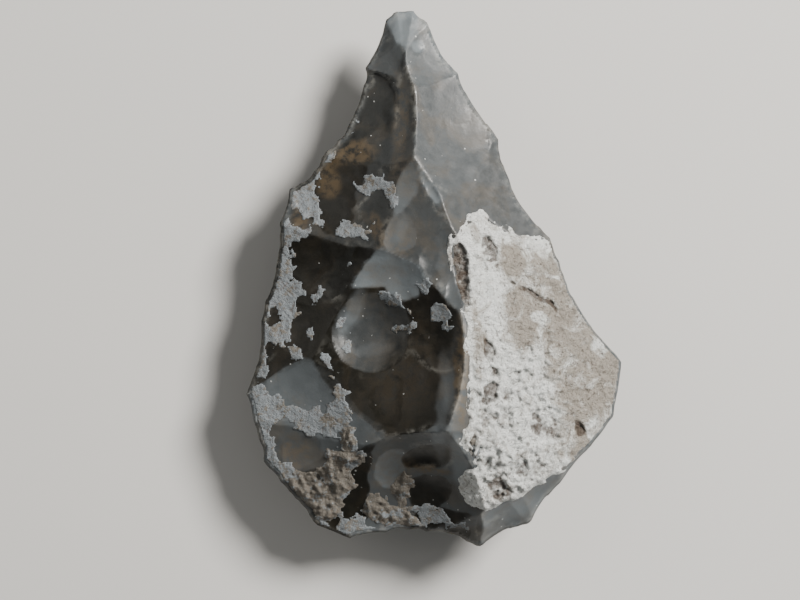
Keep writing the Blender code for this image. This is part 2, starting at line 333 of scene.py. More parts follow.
OCHRE_PATCHES = {
    "left_1": (-21.5, 32.0, 6.8, 3.4, 15, 0.8),
    "left_2": (-27.3, 25.2, 3.4, 4.7, 10, 0.75),
    "ridge_band": (-9.0, 41.1, 2.4, 12.5, -4, 0.55),
    "peak_edge": (-14.8, 11.9, 1.8, 5.2, 12, 0.6),
    "pink_facet": (-6.4, 24.9, 5.2, 6.8, 20, 0.35),
    "striated": (-9.0, 10.3, 4.7, 5.7, 0, 0.4),
    "skirt": (-13.2, 1.7, 7.8, 2.6, 0, 0.35),
    "brown_facet": (-11.1, -50.3, 5.7, 7.8, 0, 0.45),
    "half_moon_lip": (-1.2, -49.8, 5.7, 1.3, -6, 0.9),
    "ridge_foot": (6.4, -25.5, 2.1, 16.2, 0, 0.9),
    "dark_streaks": (-9.0, -21.5, 10.4, 15.7, 0, 0.16),
    "left_edge": (-35.1, 14.5, 2.6, 3.7, 0, 0.8),
    "low_left": (-36.2, -45.6, 5.2, 5.2, 0, 0.6),
}
# Shade of the flint on each scar of the upper face, from 0 smoky to 1 pale
FACET_TONES = {
    "tip_a": 0.66,
    "tip_b": 0.76,
    "tip_c": 0.56,
    "tip_d": 0.32,
    "right_upper": 0.42,
    "right_lower": 0.34,
    "left_upper": 0.2,
    "left_middle": 0.2,
    "top_of_peak": 0.28,
    "beside_peak": 0.4,
    "left_lower": 0.02,
    "left_band": 0.0,
    "centre": 0.0,
    "shell": 0.26,
    "low_left_a": 0.62,
    "low_left_b": 0.42,
    "low_left_c": 0.2,
    "base_left": 0.02,
    "base_middle": 0.5,
    "base_right": 0.0,
    "base_corner": 0.35,
    "cortex_foot": 0.5,
    "bevel_a": 0.66,
    "bevel_b": 0.66,
    "bevel_c": 0.66,
    "tip_e": 0.78,
}
# Soft patches on the cortex, in the same form: how rough, how tan, and how deep
CORTEX_ROUGH = {
    "main": (21.0, -37.2, 12.5, 22.2, -12, 0.8),
    "top": (14.0, 7.7, 3.7, 6.8, -10, 0.6),
    "left": (11.9, -5.9, 2.6, 15.7, 0, -0.25),
}
CORTEX_TAN = {
    "right": (39.3, -25.5, 11.0, 16.2, 10, 0.75),
    "upper": (27.6, -5.9, 10.4, 13.6, -20, 0.7),
    "low": (36.7, -42.4, 5.7, 5.2, 20, 0.5),
    # This strip is partly the cortex's own brown and partly painted shade on the steep strip that
    # faces left at its border
    "left_strip_brown_and_shade": (5.9, 0.7, 1.8, 8.9, 8, 0.5),
    "ochre": (19.7, 4.6, 3.4, 4.7, 0, 0.8),
    "white_1": (42.4, -18.2, 1.8, 3.7, 20, -0.8),
    "white_2": (27.0, -10.6, 3.1, 2.1, -20, -0.8),
    "strip": (10.8, -17.6, 1.8, 13.6, 3, 0.45),
    "apex": (10.8, 11.9, 2.4, 3.7, 20, 0.35),
}
# Each hollow also darkens the cortex towards the pit colour, through the low field: painted shade in
# it, with some dirt. The shade hollow paints the shadow of the steep face at the left border of the
# cortex
CORTEX_HOLLOWS = {
    "top": (14.0, 6.7, 1.8, 4.2, 15, 3.0),
    "side_1": (14.2, -20.2, 1.3, 5.2, 5, 2.9),
    "side_2": (13.7, -29.4, 1.6, 3.1, -10, 2.7),
    "middle": (25.7, -37.5, 1.3, 3.1, 5, 2.0),
    "low_1": (16.3, -55.0, 2.4, 3.9, 20, 2.2),
    "low_2": (18.9, -50.3, 1.0, 2.4, -20, 1.5),
    "right": (37.2, -39.6, 1.0, 2.1, 15, 1.4),
    "shade": (6.4, 0.4, 1.8, 9.4, 8, 4.2),
    "step": (25.2, -4.3, 7.8, 0.7, -33, 1.6),
    "crevice": (9.3, -44.3, 0.8, 4.2, -15, 2.6),
}
# Smaller scars on the upper face: middle, width across, depth, length for one of width, turn in
# degrees, and shade from 0 to 1
SMALL_SCARS = {
    "tip_pit": (-4.6, 60.2, 2.9, 0.3, 1.3, 0, 0.85),
    "tip_step": (-16.1, 54.2, 7.8, 0.22, 1.5, -20, 0.36),
    "upper_left_1": (-19.5, 39.0, 8.9, 0.25, 1.7, -20, 0.16),
    "upper_left_2": (-12.4, 32.8, 8.9, 0.25, 1.3, 30, 0.22),
    "upper_left_3": (-25.2, 27.0, 9.9, 0.3, 1.4, -40, 0.0),
    "pink_facet": (-7.4, 23.1, 9.4, 0.5, 1.1, 20, 0.66),
    "fork_chip": (-2.0, 23.9, 2.4, 0.4, 5.0, 30, 0.8),
    "stepped": (-9.8, 10.8, 8.9, 0.6, 1.2, 10, 0.5),
    "dark_triangle": (-18.4, 5.6, 6.8, 0.8, 1.0, 20, 0.0),
    "peak_side": (-0.1, 7.7, 7.8, 0.45, 1.4, -20, 0.32),
    "peak_side_2": (5.4, -5.9, 5.2, 0.4, 2.2, -25, 0.5),
    "mid_1": (-1.7, -5.9, 9.4, 0.35, 2.0, 14, 0.0),
    "slope_1": (-23.4, -31.5, 13.1, 0.35, 0.9, 30, 0.14),
    "slope_2": (-11.6, -31.5, 8.4, 0.3, 1.9, -10, 0.0),
    "streak": (0.4, -38.5, 4.2, 0.35, 3.2, -4, 0.34),
    "half_moon": (-2.0, -45.8, 11.5, 1.3, 0.5, 8, 0.0),
    "left_facet": (-33.6, -28.9, 15.1, 0.35, 0.8, 10, 0.68),
    "window": (-35.1, -45.1, 13.1, 0.4, 0.8, 0, 0.5),
    "brown_facet": (-11.4, -50.3, 10.4, 0.6, 1.1, 10, 0.8),
    "dark_slope": (-20.2, -53.9, 8.9, 0.6, 1.7, 30, 0.0),
    "dark_facet": (-2.2, -55.5, 11.0, 0.8, 0.9, 0, 0.06),
    "right_1": (6.1, 33.8, 15.1, 0.16, 1.4, 28, 0.46),
    "right_2": (11.4, 23.6, 13.6, 0.18, 1.5, 30, 0.34),
    "right_3": (0.4, 43.2, 12.0, 0.16, 1.9, 20, 0.45),
    "band_1": (-32.0, 3.5, 12.0, 0.4, 1.1, -30, 0.0),
    "band_2": (-37.7, -14.2, 10.4, 0.3, 1.8, -25, 0.04),
    "bevel": (22.3, -59.9, 11.5, 0.4, 0.5, 20, 0.7),
    "olive": (5.6, -66.5, 8.9, 0.8, 0.6, 0, 0.0),
    "notch": (11.4, -64.6, 2.4, 0.6, 2.0, 0, 0.2),
    "left_low_edge": (-27.3, 16.3, 7.8, 0.3, 1.3, 30, 0.08),
    "shell_inner": (-16.3, -10.6, 10.4, 0.4, 1.5, -35, 0.3),
    "shoulder_side": (-23.4, 4.0, 6.3, 0.4, 2.0, -40, 0.1),
    "skirt": (-14.2, 1.4, 13.1, 0.3, 0.6, -8, 0.85),
}
# A small scar, in half widths: how far its border wanders, the size of the swells it follows, and how
# far from its middle it is worked out
BORDER_STRAY = 0.42
BORDER_SWELL = 1.3
BORDER_SPAN = 2.0

# Sharpest curve of a face that a small scar follows, in millimetres for each square millimetre
STEEPEST_BEND = 0.03

# The tip, from here on, has only tiny edge scars
TIP_FROM = 52.0

# Scars farther apart than this in height do not count as meeting in a ridge
WIDEST_GAP = 0.9

# Places looked at along each side of the edge when the stone is centred, how far each may slide to
# the true edge, and in how many steps
SIDE_STEPS = 8
FARTHEST_SLIDE = 4.0
SLIDE_STEPS = 8

# How deep the flint lies under the face of the cortex
CORTEX_BED = 2.0

# Spacing of the ripples in a scar, and the share by which it differs from scar to scar
RIPPLE_PITCH = 4.6
PITCH_SPREAD = 0.25

# How far the rings stray from round ones, and sizes of the swells that bend the rings, fade them and
# waver the whole bowl
RING_STRAY = 1.4
RING_SWELL = 9.0
FADE_SWELL = 11.0
WAVER_SWELL = 13.0

# A bowl this far above the lowest one may still be the lowest once both are rippled
RIPPLE_REACH = 1.5

# Gap written where no other scar is near
OPEN_GAP = 9.0

# Random relief: height, size of its swells in millimetres, seed, and number of octaves
LAYERS = {
    "cortex_swell": (0.9, 7.0, 33, 4),
    "cortex_crags": (2.6, 3.4, 37, 5),
    "cortex_crumb": (0.95, 1.4, 71, 3),
    "cortex_border": (1.5, 3.6, 31, 5),
    "hollow_border": (1.3, 2.4, 39, 4),
    "lime_border": (2.0, 3.4, 51, 4),
    "lime_fringe": (1.4, 1.3, 57, 3),
    "lime_grit": (0.16, 1.5, 53, 3),
    "lump_border": (1.8, 4.5, 61, 4),
    "lump_fringe": (0.8, 1.3, 69, 3),
    "lump_swell": (0.8, 2.6, 63, 3),
    "lump_crumb": (0.7, 1.2, 67, 3),
    "under_tone": (0.25, 22.0, 9, 3),
    "under_stain": (1.0, 18.0, 12, 3),
}

# Behind all random relief: values along a side of the table it repeats, turn of the table from seed to
# seed in radians, seeds from octave to octave, and what the sum of the octaves is divided by
LATTICE_SIDE = 64
SEED_TURN = 0.7
OCTAVE_SEEDS = 11
OCTAVE_SUM = 1.6

# Seeds of the bowls and the small scars, counted up from these
UPPER_SEED = 20
LOWER_SEED = 80
SMALL_SCAR_SEED = 200

# Nicks along the knife edge: seed of the draw, half width, depth for a half width of one, share of the
# half width near the tip, and how far one may slide to the true edge
NICK_SEED = 7
NICK_REACH = (1.0, 3.2)
NICK_DEPTH = (0.08, 0.16)
TIP_NICK_SHARE = 0.45
FARTHEST_NICK_SLIDE = 3.0

# Step over which a slope is measured, and the least square of a slope that a place slides along
SLOPE_STEP = 0.05
LEAST_SLOPE = 0.01

# Half the plan that the grids cover
PLAN_REACH = (54.0, 75.0)

# Rounds in which cells with all four corners on the border are taken off
TRIM_ROUNDS = 4

# Least thickness of the knife edge, and of the flint that carries a skin
THINNEST_EDGE = 0.02
THINNEST_BED = 0.6

# Places of the grid slide onto a ridge where the gap to the next scar is less than the first of these
# and the flint is thicker than the second. The others say how far at most, in cells, at a ridge and on
# the rim
RIDGE_GAP = 0.8
RIDGE_FLINT = 0.8
RIDGE_SLIDE = 0.45
RIM_SLIDE = 1.5

# Shade of flint that no named scar has cut, and middle shade of the lower face
BARE_TONE = 0.45
UNDER_TONE = 0.42

# Margin along the edge: thickness of the flint where it is full and where it ends, how much paler it
# is painted (a painted glow of light through the thin flint), and how worn (the ridge line, partly a
# painted highlight)
MARGIN = (0.4, 2.4)
MARGIN_GLOW = 0.2
MARGIN_WEAR = 0.5

# A worn ridge, a pale line that is partly real bruising and partly a painted highlight: distance in
# millimetres where the line is full and where it ends, and how steeply the gap to the next scar opens
# where a ridge begins to count and counts in full
RIDGE_BAND = (0.1, 1.3)
RIDGE_OPENING = (0.3, 1.0)

# How far inside the border of the cortex the flint begins and ends its dip, and the most of its
# thickness that the dip takes
DIP_BAND = (0.6, 2.0)
DIP_SHARE = 0.4

# How far a skin reaches into the flint below where it dives, and the most of the thickness it takes
SKIN_ROOT = 1.0
SKIN_SHARE = 0.6

# How far each skin dives below the flint outside its border
CORTEX_DIVE = 1.3
LIME_DIVE = 0.3
LUMP_DIVE = 0.4

# Roughness of the cortex outside its patches, how low it mostly lies, and the share of crags in it
CORTEX_ROUGHNESS = 0.65
CORTEX_LEVEL = 0.2
CRAG_SHARE = 0.35

# Depth of a hollow of strength 1, and the deepest that the cortex goes below its own face
HOLLOW_DEPTH = 0.7
CORTEX_DEEPEST = 1.2

# Soft patches: how far their borders wander, the size of those swells, and where a patch begins and
# ends to fade, in half widths
PATCH_WANDER = 1.2
PATCH_SWELL = 5.0
PATCH_FADE = (0.55, 1.25)

# Value of the mixed noise from which a crust shows its second kind of grain
SECOND_GRAIN_FROM = 0.83

# Stage, in metres: where the camera stands over, how far above the edge, and the width it sees
CAMERA_OVER = (-0.0090, -0.0059)
CAMERA_AWAY = 0.80
PICTURE_WIDTH = 0.209
FLOOR_SIZE = 8.0
SKY_STRENGTH = 0.27
LAMPS = {
    "key": ((0.68, 0.50, 0.80), 0.40, 36.0, "#fffaf4"),
    "fill": ((-0.75, 0.35, 0.7), 0.6, 1.6, "#f6f1ea"),
}


def linear(code):
    """Scene colour of an sRGB hex value."""
    shares = [int(code[at:at + 2], 16) / 255 for at in (1, 3, 5)]
    return [s / 12.92 if s <= 0.04045 else ((s + 0.055) / 1.055) ** 2.4 for s in shares]


def colour(label, code, what):
    return FloatVectorProperty(
        name=label, description=what, default=linear(code), subtype="COLOR", min=0.0, max=1.0
    )


class HandAxeSizes(bpy.types.PropertyGroup):
    """Sizes of the grids, the relief and the skins"""

    body_cell: FloatProperty(
        name="Flint cell", description="Spacing of the grid of the flint, in millimetres",
        default=0.46, min=0.3, max=3.0,
    )
    skin_cell: FloatProperty(
        name="Skin cell", description="Spacing of the grid of cortex and crusts, in millimetres",
        default=0.30, min=0.25, max=3.0,
    )
    ripple: FloatProperty(
        name="Ripple", description="Height of the ripples in a scar, in millimetres",
        default=0.035, min=0.0, max=0.3,
    )
    waver: FloatProperty(
        name="Waver", description="How far a scar strays from a true bowl, in millimetres",
        default=0.32, min=0.0, max=1.0,
    )
    nicks: IntProperty(
        name="Edge scars", description="Number of small scars along the knife edge",
        default=120, min=0, max=400,
    )
    cortex_proud: FloatProperty(
        name="Cortex", description="How proud the cortex stands of the flint, in millimetres",
        default=0.35, min=0.1, max=1.0,
    )
    lime_proud: FloatProperty(
        name="Lime", description="Thickness of the lime crust, in millimetres",
        default=0.16, min=0.1, max=1.0,
    )


class HandAxeColours(bpy.types.PropertyGroup):
    """Colours of the flint, its rind and crusts, and the floor"""

    smoky: colour("Smoky flint", "#12110c", "Deep, clear flint that swallows the light")
    grey: colour("Grey flint", "#44484a", "Cloudy flint of middle tone")
    pale: colour("Pale flint", "#676e72", "Milky blue-grey patina")
    ochre: colour("Ochre stain", "#5a4c37", "Iron stain near ridges and the left side")
    # Worn ridge: partly real bruising, partly a painted highlight
    ridge: colour("Worn ridge and painted highlight", "#b9b9b2", "Thin line along a ridge, partly bruised, partly a painted highlight")
    chalk: colour("Chalky cortex", "#f6faf8", "Whitest cortex")
    tan: colour("Tan cortex", "#a8a298", "Weathered, smoother cortex")
    pit_shade_and_dirt: colour("Cortex pits", "#51443a", "Shade and dirt in the pits")
    lime: colour("Lime crust", "#757b7f", "Thin grey lime crust")
    lump: colour("Concretion", "#67635c", "Brownish lumps of cemented silt")
    floor: colour("Floor", "#c4c4c2", "Plain pale floor")


def spot(name):
    """Place of a named corner, in millimetres from the middle of the plane of the edge."""
    shares = {**EDGE_CORNERS, **RIDGE_CORNERS, **BELLY_CORNERS}[name]
    return np.array(shares) * (WIDTH, LENGTH, THICKNESS)


@functools.cache
def lattice(seed):
    """The table of random values of one seed."""
    return np.random.default_rng(seed).uniform(-1.0, 1.0, (LATTICE_SIDE, LATTICE_SIDE))


def bumps(x, y, size, seed):
    """Even random swells of about that size in millimetres, from -1 to 1."""
    table = lattice(seed)
    turn = seed * SEED_TURN
    across = (x * math.cos(turn) + y * math.sin(turn)) / size
    along = (y * math.cos(turn) - x * math.sin(turn)) / size
    i, j = np.floor(across).astype(int), np.floor(along).astype(int)
    u, v = across - i, along - j
    u, v = (s * s * s * (s * (s * 6 - 15) + 10) for s in (u, v))
    i, right = i % LATTICE_SIDE, (i + 1) % LATTICE_SIDE
    j, above = j % LATTICE_SIDE, (j + 1) % LATTICE_SIDE
    near = table[i, j] * (1 - u) + table[right, j] * u
    far = table[i, above] * (1 - u) + table[right, above] * u
    return near * (1 - v) + far * v


def grain(x, y, size, seed, octaves=4):
    """Swells with finer and weaker ones on them."""
    total = 0.0
    for step in range(octaves):
        total = total + bumps(x, y, size / 2 ** step, seed + OCTAVE_SEEDS * step) / 2 ** step
    return total / OCTAVE_SUM


def layer(x, y, name):
    """Random relief of a named layer."""
    height, *pattern = LAYERS[name]
    return height * grain(x, y, *pattern)


def smooth(low, high, value):
    """Rise from 0 at the low value to 1 at the high one, level at both ends."""
    share = np.clip((value - low) / (high - low), 0.0, 1.0)
    return share * share * (3 - 2 * share)


class Bowl:
    """The ball that took one flake off: side is 1 for the upper face and -1 for the lower one."""

    def __init__(self, centre, radius, side, strike, seed):
        self.centre, self.radius, self.side = centre, radius, side
        self.strike, self.seed = strike, seed

    def hollow(self, x, y):
        """Height of the bare bowl times the side; endless where the ball isn't over the place."""
        reach = self.radius ** 2 - (x - self.centre[0]) ** 2 - (y - self.centre[1]) ** 2
        height = self.side * self.centre[2] - np.sqrt(np.maximum(reach, 0.0))
        return np.where(reach > 0.0, height, np.inf)

    def ripples(self, x, y, sizes):
        """Rings round the place of the blow, and a slow waver of the whole bowl."""
        away = np.hypot(x - self.strike[0], y - self.strike[1])
        ring = away + RING_STRAY * bumps(x, y, RING_SWELL, self.seed)
        fade = 0.55 + 0.45 * bumps(x, y, FADE_SWELL, self.seed + 3)
        pitch = RIPPLE_PITCH * (1.0 + PITCH_SPREAD * math.sin(self.seed))
        wave = sizes.ripple * fade * np.sin(ring * math.tau / pitch)
        return wave + sizes.waver * grain(x, y, WAVER_SWELL, self.seed + 5, 3)


class Nick(Bowl):
    """A shallow oval scar on a face: it follows the slope of the face and dips below it."""

    def __init__(self, place, slope, bend, reach, depth, side, seed, stretch=1.0, turn=0.0):
        away = np.array((math.cos(seed), math.sin(seed))) * reach
        super().__init__(place, reach, side, place[:2] + away, seed)
        self.slope, self.bend, self.depth = slope, bend, depth
        self.stretch, self.turn = stretch, turn

    def hollow(self, x, y):
        across, along = x - self.centre[0], y - self.centre[1]
        u = across * math.cos(self.turn) + along * math.sin(self.turn)
        v = (along * math.cos(self.turn) - across * math.sin(self.turn)) / self.stretch
        near = u ** 2 + v ** 2 < (self.radius * BORDER_SPAN) ** 2
        if not near.any():
            return np.full(x.shape, np.inf)
        stray, swell = self.radius * BORDER_STRAY, self.radius * BORDER_SWELL
        u[near] += stray * grain(x[near], y[near], swell, self.seed, 3)
        v[near] += stray * grain(x[near], y[near], swell, self.seed + 1, 3)
        share = (u ** 2 + v ** 2) / self.radius ** 2
        plane = self.centre[2] + self.slope[0] * across + self.slope[1] * along
        bent = self.side * plane + self.bend * (across ** 2 + along ** 2)
        return np.where(near, bent + self.depth * (share - 1.0), np.inf)


def ball_through(first, second, third, radius, side):
    """Centre of the ball of that radius through three points, on the outer side of them."""
    normal = np.cross(second - first, third - first)
    normal = normal / np.linalg.norm(normal)
    if normal[2] * side < 0.0:
        normal = -normal
    a = np.sum((second - third) ** 2)
    b = np.sum((third - first) ** 2)
    c = np.sum((first - second) ** 2)
    weights = np.array((a * (b + c - a), b * (c + a - b), c * (a + b - c)))
    middle = weights @ np.array((first, second, third)) / weights.sum()
    reach = np.linalg.norm(first - middle)
    return middle + normal * math.sqrt(max(radius ** 2 - reach ** 2, 0.0))


def knee(edge, belly):
    """Point on the lower face part of the way from the edge to the belly, where it bends."""
    place = edge + (belly - edge) * KNEE_REACH
    place[2] = edge[2] + (belly[2] - edge[2]) * KNEE_DEPTH
    return place


def struck(scars, side, points_of):
    """One bowl for each named scar of a table."""
    made = {}
    first_seed = UPPER_SEED if side > 0 else LOWER_SEED
    for seed, (name, (*corners, share)) in enumerate(scars.items(), first_seed):
        places = [spot(word) for word in corners]
        centre = ball_through(*points_of(*places), share * LENGTH, side)
        strike = (places[0] + places[1])[:2] / 2
        made[name] = Bowl(centre, share * LENGTH, side, strike, seed)
    return made


def nodule(x, y, side):
    """Height of the whole nodule's surface times the side; minus endless outside it."""
    turn = np.array(Euler([math.radians(angle) for angle in NODULE_TURN]).to_matrix())
    shrink = np.diag(1.0 / NODULE_RADII) @ turn.T
    up = shrink[:, 2]
    flat = np.stack((x - NODULE_CENTRE[0], y - NODULE_CENTRE[1], x * 0 - NODULE_CENTRE[2]), -1)
    flat = flat @ shrink.T
    a, b, c = up @ up, flat @ up, np.sum(flat * flat, -1) - 1.0
    inner = b * b - a * c
    high = (-b + side * np.sqrt(np.maximum(inner, 0.0))) / a
    return np.where(inner > 0.0, high * side, -np.inf)


def lowest(x, y, side, bowls, sizes, named):
    """Height of a face times its side, the number of its named scar, and the gap to the next."""
    first = np.minimum(nodule(x, y, side), BLANK_TOP if side > 0 else EDGE_HEIGHT)
    second = np.full_like(first, np.inf)
    owner = np.full(first.shape, -1)
    bare = [bowl.hollow(x, y) for bowl in bowls]
    reachable = np.minimum(first, np.minimum.reduce(bare)) + RIPPLE_REACH
    for number, (bowl, height) in enumerate(zip(bowls, bare)):
        near = height < reachable
        if not near.any():
            continue
        height[near] += bowl.ripples(x[near], y[near], sizes)
        closer = height < first
        second = np.where(closer, first, np.minimum(second, height))
        if number < named:
            owner = np.where(closer, number, owner)
        first = np.where(closer, height, first)
    return first, owner, np.minimum(second - first, OPEN_GAP)


class Stone:
    """Both faces of the stone, as heights over a place in plan."""

    def __init__(self, sizes):
        self.sizes = sizes
        upper = struck(UPPER_SCARS, 1, lambda *places: places)
        belly = struck(
            BELLY_SCARS, -1, lambda one, two, low: (knee(one, low), knee(two, low), low)
        )
        lower = struck(LOWER_SCARS, -1, lambda one, two, low: (one, two, knee((one + two) / 2, low)))
        small = [row[-1] for row in SMALL_SCARS.values()]
        self.tones = np.array([FACET_TONES[name] for name in upper] + small)
        self.bowls = {1: list(upper.values()), -1: list(belly.values()) + list(lower.values())}
        for x, y, width, depth, stretch, turn, _ in SMALL_SCARS.values():
            self.add_nick(x, y, width / 2, depth, 1, stretch, math.radians(turn))
        self.shift = place_in_frame(self)
        self.add_edge_nicks()

    def face(self, x, y, side):
        """Height of one face, the number of its named scar, and the gap to the next scar."""
        height, owner, gap = lowest(x, y, side, self.bowls[side], self.sizes, len(self.tones))
        return height * side, owner, gap

    def thickness(self, x, y):
        return self.face(x, y, 1)[0] - self.face(x, y, -1)[0]

    def add_nick(self, x, y, reach, depth, side, stretch=1.0, turn=0.0):
        """Sink a small scar of that half width into a face."""
        step = reach * 0.5
        places = np.array((x, x + step, x - step, x, x)), np.array((y, y, y, y + step, y - step))
        here, right, left, on, back = self.face(*places, side)[0]
        slope = (right - left) / (2 * step), (on - back) / (2 * step)
        bend = side * ((right + left + on + back) / 4 - here) / step ** 2
        bend = min(max(bend, 0.0), STEEPEST_BEND)
        seed = SMALL_SCAR_SEED + len(self.bowls[side])
        place = np.array((x, y, here))
        nick = Nick(place, slope, bend, reach, depth, side, seed, stretch, turn)
        self.bowls[side].append(nick)

    def add_edge_nicks(self):
        """Small scars where the knife edge was trimmed and bruised."""
        rng = np.random.default_rng(NICK_SEED)
        corners = [spot(name)[:2] for name in EDGE_CORNERS]
        sides = list(zip(corners, corners[1:] + corners[:1]))
        runs = np.array([np.linalg.norm(two - one) for one, two in sides])
        picks = rng.choice(len(sides), self.sizes.nicks, p=runs / runs.sum())
        planned = []
        for pick in picks:
            one, two = sides[pick]
            place = one + (two - one) * rng.uniform(0.0, 1.0)
            reach = rng.uniform(*NICK_REACH) * (TIP_NICK_SHARE if place[1] > TIP_FROM else 1.0)
            depth = rng.uniform(*NICK_DEPTH) * reach ** 0.5
            planned.append((place, reach, depth, rng.choice((-1, 1))))
        places = np.array([plan[0] for plan in planned])
        x, y = slide_to_zero(self.thickness, places[:, 0], places[:, 1], FARTHEST_NICK_SLIDE)
        for at, (_, reach, depth, side) in enumerate(planned):
            self.add_nick(x[at], y[at], reach, depth, int(side))


@functools.cache
def stone_of(ripple, waver, nicks):
    """The stone of those sizes; every step of the build shares it."""
    return Stone(bpy.context.scene.hand_axe_sizes)


def current_stone(sizes):
    return stone_of(sizes.ripple, sizes.waver, sizes.nicks)


def slide_to_zero(field, x, y, most, steps=5):
    """Move places across a field to where it is nought, and no farther than most."""
    start_x, start_y = x, y
    for _ in range(steps):
        here = field(x, y)
        along_x = (field(x + SLOPE_STEP, y) - here) / SLOPE_STEP
        along_y = (field(x, y + SLOPE_STEP) - here) / SLOPE_STEP
        slope = np.maximum(along_x ** 2 + along_y ** 2, LEAST_SLOPE)
        x, y = x - here * along_x / slope, y - here * along_y / slope
        far = np.hypot(x - start_x, y - start_y)
        keep = np.minimum(1.0, most / np.maximum(far, 1e-6))
        x, y = start_x + (x - start_x) * keep, start_y + (y - start_y) * keep
    return x, y


def plan_grid(cell):
    """Even grid of places over the plan."""
    return np.meshgrid(*(np.arange(-reach, reach, cell) for reach in PLAN_REACH))


def corner_cells(values):
    """The four corner values of each cell of a grid."""
    return values[:-1, :-1], values[:-1, 1:], values[1:, 1:], values[1:, :-1]


def rim_of(cells):
    """Corners of kept cells, and those of them that lie on the border."""
    count = np.zeros((cells.shape[0] + 1, cells.shape[1] + 1), int)
    for down, across in ((0, 0), (0, 1), (1, 1), (1, 0)):
        rows = slice(down, down + cells.shape[0])
        columns = slice(across, across + cells.shape[1])
        count[rows, columns] += cells
    return count > 0, (count > 0) & (count < 4)


def trimmed(cells):
    """Kept cells without those that have all four corners on the border."""
    for _ in range(TRIM_ROUNDS):
        rim = rim_of(cells)[1]
        cells = cells & ~np.logical_and.reduce(corner_cells(rim))
    return cells


def closed_sheet(name, shift, x, y, cells, top, bottom, fields):
    """A closed mesh between two heights over the kept cells; both meet along the border."""
    used, rim = rim_of(cells)
    inner = used & ~rim
    upper = np.full(x.shape, -1)
    upper[used] = np.arange(used.sum())
    lower = upper.copy()
    lower[inner] = used.sum() + np.arange(inner.sum())
    top = np.where(rim, (top + bottom) / 2, top)
    places = np.concatenate((
        np.stack((x[used], y[used], top[used]), -1),
        np.stack((x[inner], y[inner], bottom[inner]), -1),
    ))
    rows = np.stack([corner[cells] for corner in corner_cells(upper)], -1)
    under = np.stack([corner[cells] for corner in corner_cells(lower)], -1)[:, ::-1]
    faces = np.concatenate((rows, under))
    mesh = bpy.data.meshes.new(name)
    mesh.vertices.add(len(places))
    mesh.vertices.foreach_set("co", ((places + shift) * MM).ravel())
    mesh.loops.add(faces.size)
    mesh.loops.foreach_set("vertex_index", faces.ravel())
    mesh.polygons.add(len(faces))
    mesh.polygons.foreach_set("loop_start", np.arange(0, faces.size, 4))
    mesh.polygons.foreach_set("use_smooth", np.ones(len(faces), bool))
    mesh.update(calc_edges=True)
    for word, (over, below) in fields.items():
        values = np.concatenate((over[used], below[inner])).astype(np.float32)
        mesh.attributes.new(word, "FLOAT", "POINT").data.foreach_set("value", values)
    mesh.validate()
    thing = bpy.data.objects.new(name, mesh)
    bpy.context.scene.collection.objects.link(thing)
    return thing


def inside_border(x, y, border):
    """Distance in millimetres inside a closed outline of named places; negative outside."""
    ring = np.array(list(border.values()))
    nearest = np.full(x.shape, np.inf)
    crossed = np.zeros(x.shape, bool)
    for one, two in zip(ring, np.roll(ring, -1, 0)):
        nearest = np.minimum(nearest, from_line(x, y, one, two))
        spans = (one[1] > y) != (two[1] > y)
        rise = two[1] - one[1] if two[1] != one[1] else 1e-9
        crossed ^= spans & (x < (two[0] - one[0]) * (y - one[1]) / rise + one[0])
    return np.where(crossed, nearest, -nearest)


def from_line(x, y, one, two):
    """Distance in plan from the straight line between two places."""
    run = np.subtract(two, one)
    share = ((x - one[0]) * run[0] + (y - one[1]) * run[1]) / max(run @ run, 1e-9)
    share = np.clip(share, 0.0, 1.0)
    return np.hypot(x - one[0] - share * run[0], y - one[1] - share * run[1])


def inside_streaks(x, y, streaks):
    """Distance inside the widest of a set of round-ended streaks."""
    best = np.full(x.shape, -9.0)
    for one, two, width in streaks.values():
        best = np.maximum(best, width - from_line(x, y, one, two))
    return best


def inside_crust(x, y, streaks):
    """Distance inside a set of streaks and outside the bare places."""
    return np.minimum(inside_streaks(x, y, streaks), -inside_streaks(x, y, CRUST_WINDOWS))


def patches(x, y, table, seed):
    """Sum of soft oval patches with wandering borders."""
    wander_x = x + PATCH_WANDER * grain(x, y, PATCH_SWELL, seed, 3)
    wander_y = y + PATCH_WANDER * grain(x, y, PATCH_SWELL, seed + 40, 3)
    total = np.zeros(x.shape)
    for centre_x, centre_y, across, along, turn, strength in table.values():
        angle = math.radians(turn)
        dx, dy = wander_x - centre_x, wander_y - centre_y
        u = (dx * math.cos(angle) + dy * math.sin(angle)) / across
        v = (dy * math.cos(angle) - dx * math.sin(angle)) / along
        total += strength * (1.0 - smooth(*PATCH_FADE, np.hypot(u, v)))
    return total


def add_node(nodes, kind, settings=None, values=None, links=None):
    """A shader node with its settings, its input values and the sockets linked to its inputs."""
    node = nodes.new(kind)
    for word, value in (settings or {}).items():
        setattr(node, word, value)
    for word, value in (values or {}).items():
        node.inputs[word].default_value = value
    for word, source in (links or {}).items():
        node.id_data.links.new(source, node.inputs[word])
    return node


def per_mm(size):
    """Scale of a pattern whose features are that many millimetres across."""
    return 1.0 / (size * MM)


def new_material(name):
    material = bpy.data.materials.new(name)
    material.use_nodes = True
    nodes = material.node_tree.nodes
    return material, nodes, nodes["Principled BSDF"]


def field_node(nodes, word):
    return add_node(nodes, "ShaderNodeAttribute", {"attribute_name": word}).outputs["Fac"]


def noise_node(nodes, place, size, detail=4.0, roughness=0.55, distortion=0.0):
    """Noise with features of that size in millimetres."""
    values = {"Scale": per_mm(size), "Detail": detail, "Roughness": roughness}
    values["Distortion"] = distortion
    return add_node(
        nodes, "ShaderNodeTexNoise", values=values, links={"Vector": place}
    ).outputs["Fac"]


